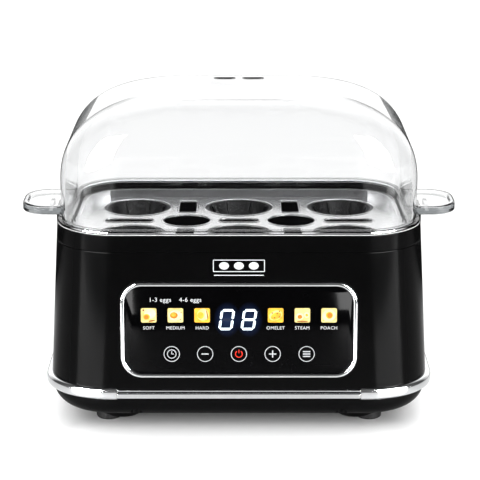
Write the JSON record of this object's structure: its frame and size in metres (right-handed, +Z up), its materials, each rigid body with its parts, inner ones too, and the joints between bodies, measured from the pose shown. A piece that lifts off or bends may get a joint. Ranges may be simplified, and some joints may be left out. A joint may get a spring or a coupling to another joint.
{
  "type": "egg cooker",
  "caption": "Electric egg cooker with a clear domed lid, a perforated steel rack of ribbed cups, a black body with a touch panel and chrome band, and rubber feet.",
  "frame": {"origin": "on the table under the middle of the object", "axes": "+Z up, the touch panel faces -Y, +X to the right as seen from the front"},
  "size_m": [0.238, 0.1394, 0.175],
  "materials": {
    "clear_plastic": "polished clear",
    "rack_steel": "bright satin",
    "gloss_black": "high gloss",
    "satin_black": "satin",
    "cup_black": "satin",
    "rubber_black": "matt",
    "chrome_trim": "mirror plated",
    "panel_black": "polished",
    "display_white": "diffuse window",
    "screw_steel": "zinc plated",
    "board_green": "solder mask",
    "cable_grey": "ribbon sleeve",
    "pan_coating": "non-stick coating on aluminium",
    "silicone_red": "silicone",
    "ceramic_white": "ceramic and nylon",
    "fuse_sleeve": "glass-fibre sleeve",
    "shield_aluminium": "plain sheet",
    "transformer_yellow": "taped winding",
    "relay_blue": "moulded case"
  },
  "bodies": {
    "base": {"base_cover": "satin_black", "base_screws": "screw_steel", "board_screws": "screw_steel", "buzzer": "satin_black", "capacitor": "satin_black", "control_board": "board_green", "cord_gland": "rubber_black", "display_module": "display_white", "foot_1": "rubber_black", "foot_2": "rubber_black", "foot_3": "rubber_black", "foot_4": "rubber_black", "front_rail": "chrome_trim", "heat_shield": "shield_aluminium", "heater_leads": "fuse_sleeve", "heater_tube": "screw_steel", "heating_pan": "pan_coating", "housing_shell": "gloss_black", "icon_light_box": "satin_black", "left_bumper": "chrome_trim", "pan_gasket": "silicone_red", "panel_lens": "panel_black", "panel_trim": "chrome_trim", "power_board": "board_green", "rear_rail": "chrome_trim", "relay": "relay_blue", "ribbon_cable": "cable_grey", "right_bumper": "chrome_trim", "shield_studs": "screw_steel", "terminal_block": "ceramic_white", "thermal_fuse": "fuse_sleeve", "thermostat": "ceramic_white", "touch_springs": "screw_steel", "transformer": "transformer_yellow", "upper_collar": "gloss_black"},
    "rack": {"egg_rack": "rack_steel", "egg_cup_1": "cup_black", "egg_cup_2": "cup_black", "egg_cup_3": "cup_black", "egg_cup_4": "cup_black", "egg_cup_5": "cup_black", "egg_cup_6": "cup_black"},
    "lid": {"lid": "clear_plastic"}
  },
  "joints": [
    {"name": "lid_lift", "type": "slide", "parent": "base", "child": "lid", "axis": [0, 0, 1], "range_m": [0, 0.1]},
    {"name": "rack_lift", "type": "slide", "parent": "base", "child": "rack", "axis": [0, 0, 1], "range_m": [0, 0.038]}
  ]
}
